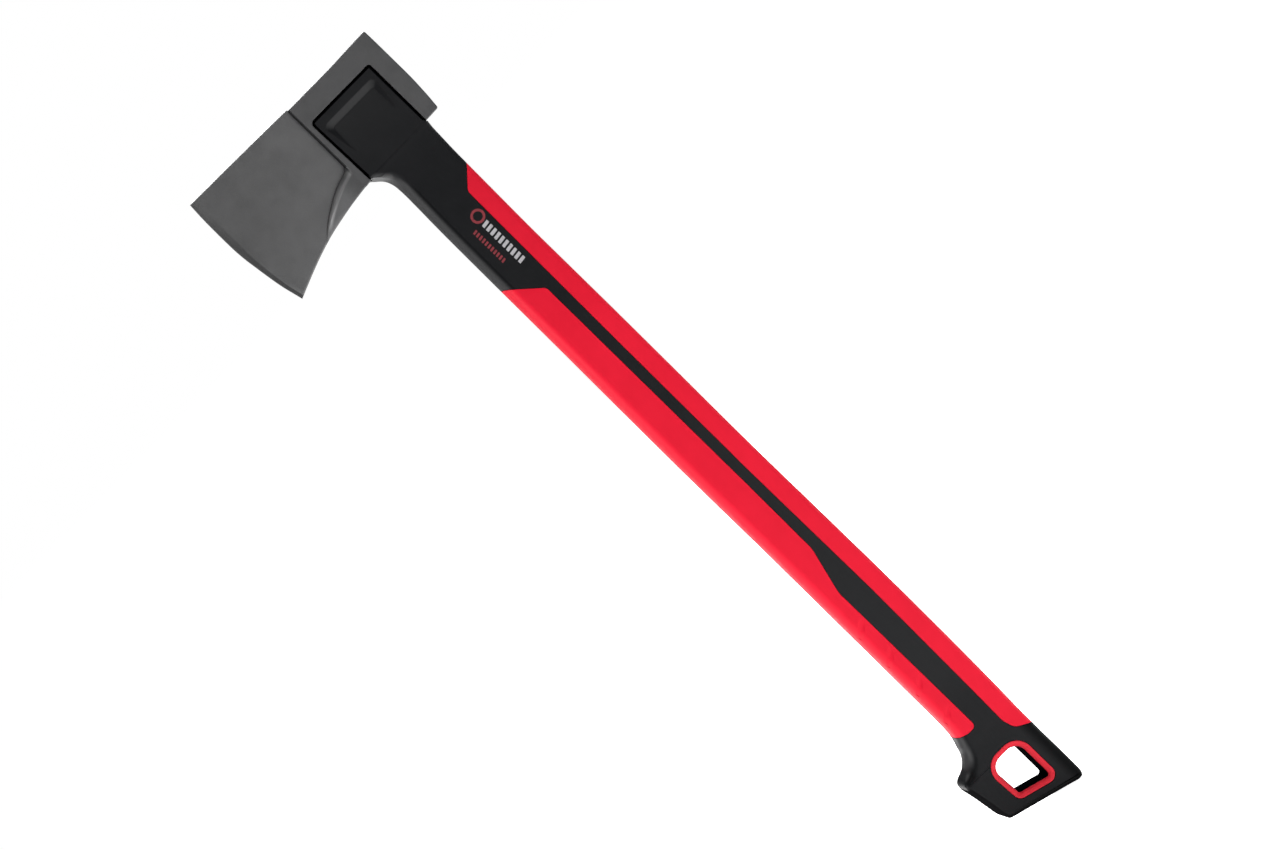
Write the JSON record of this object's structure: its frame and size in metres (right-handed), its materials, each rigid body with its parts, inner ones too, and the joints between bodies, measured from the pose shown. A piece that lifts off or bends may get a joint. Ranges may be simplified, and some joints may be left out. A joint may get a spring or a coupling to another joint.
{
  "type": "fire axe",
  "caption": "Two-handed fire and splitting axe: forged wedge head moulded into a black composite handle with red soft grips, hooked end knob and hang hole.",
  "frame": {"origin": "point where the middle line of the handle meets the flat sloped butt face", "axes": "+Z along the handle towards the head, +X towards the poll (the blade points to -X), +Y across the thickness"},
  "size_m": [0.1683, 0.04, 0.7124],
  "materials": {
    "coated_steel": "dark grey non-stick coating, satin, fine grain",
    "black_nylon": "moulded glass-filled nylon, fine spark-eroded texture",
    "fibreglass": "pultruded fibreglass, hidden inside the handle",
    "red_soft_grip": "matt soft thermoplastic rubber"
  },
  "bodies": {
    "root": {"axe_head": "coated_steel", "handle_body": "black_nylon", "core_rod": "fibreglass", "back_grip": "red_soft_grip", "front_grip": "red_soft_grip", "hang_ring_left": "red_soft_grip", "hang_ring_right": "red_soft_grip"}
  },
  "joints": []
}
